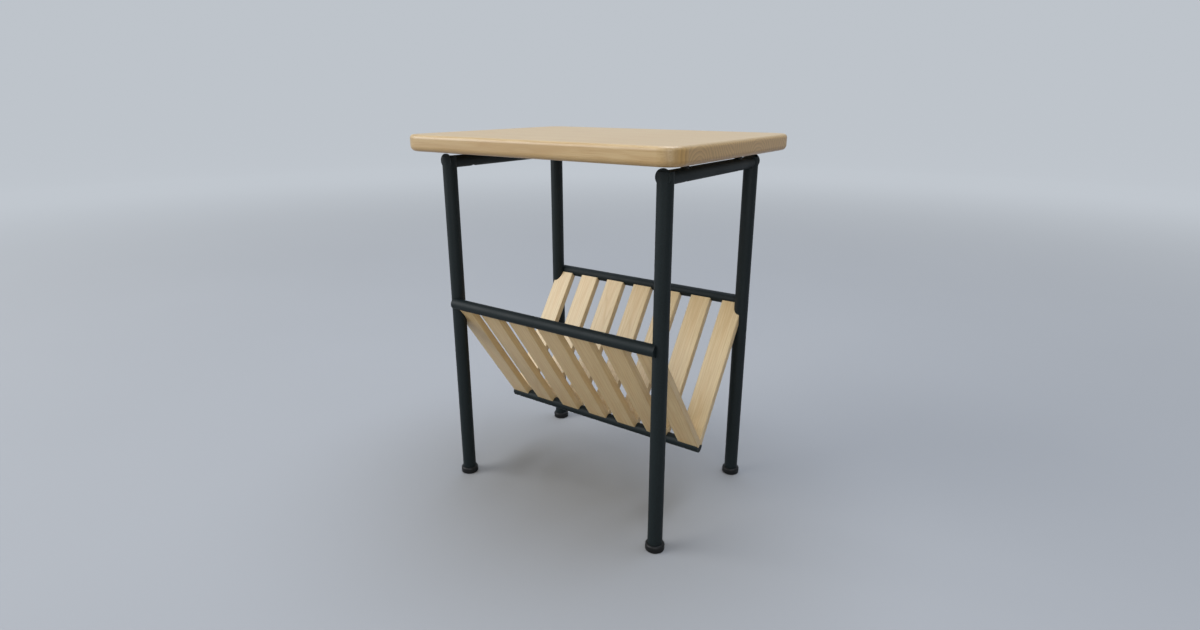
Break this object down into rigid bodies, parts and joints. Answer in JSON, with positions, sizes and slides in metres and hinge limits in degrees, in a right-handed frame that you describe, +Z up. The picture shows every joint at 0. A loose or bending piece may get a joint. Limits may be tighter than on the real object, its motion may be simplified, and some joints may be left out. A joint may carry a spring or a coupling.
{
  "type": "magazine table",
  "caption": "Rectangular side table: rounded wooden top on a round-tube steel frame, with a V-shaped rack of wooden slats below it for magazines.",
  "frame": {"origin": "on the floor, under the middle of the table", "axes": "+Z up; X along the top's long side and the rack; the front of the table looks towards -Y"},
  "size_m": [0.425, 0.332, 0.527],
  "materials": {
    "lacquered_oak": "sanded pale oak under a clear matt lacquer",
    "powder_coated_steel": "fine matt powder coat, green-black",
    "black_plastic": "moulded, satin",
    "zinc_plated_steel": "bright zinc plate",
    "black_zinc_steel": "black zinc plate"
  },
  "bodies": {
    "root": {"back_left_foot": "black_plastic", "back_left_leg": "powder_coated_steel", "back_rack_rail": "powder_coated_steel", "back_right_foot": "black_plastic", "back_right_leg": "powder_coated_steel", "back_slat_1": "lacquered_oak", "back_slat_2": "lacquered_oak", "back_slat_3": "lacquered_oak", "back_slat_4": "lacquered_oak", "back_slat_5": "lacquered_oak", "back_slat_6": "lacquered_oak", "back_slat_7": "lacquered_oak", "back_slat_screws": "black_zinc_steel", "back_slat_studs": "powder_coated_steel", "front_left_foot": "black_plastic", "front_left_leg": "powder_coated_steel", "front_rack_rail": "powder_coated_steel", "front_right_foot": "black_plastic", "front_right_leg": "powder_coated_steel", "front_slat_1": "lacquered_oak", "front_slat_2": "lacquered_oak", "front_slat_3": "lacquered_oak", "front_slat_4": "lacquered_oak", "front_slat_5": "lacquered_oak", "front_slat_6": "lacquered_oak", "front_slat_7": "lacquered_oak", "front_slat_screws": "black_zinc_steel", "front_slat_studs": "powder_coated_steel", "left_side_rail": "powder_coated_steel", "rack_bottom_bar": "powder_coated_steel", "rack_rail_end_discs": "powder_coated_steel", "right_side_rail": "powder_coated_steel", "side_rail_end_discs": "powder_coated_steel", "table_top": "lacquered_oak", "top_inserts": "zinc_plated_steel", "top_saddle_washers": "zinc_plated_steel", "top_screws": "zinc_plated_steel", "top_spacers": "black_plastic"}
  },
  "joints": []
}
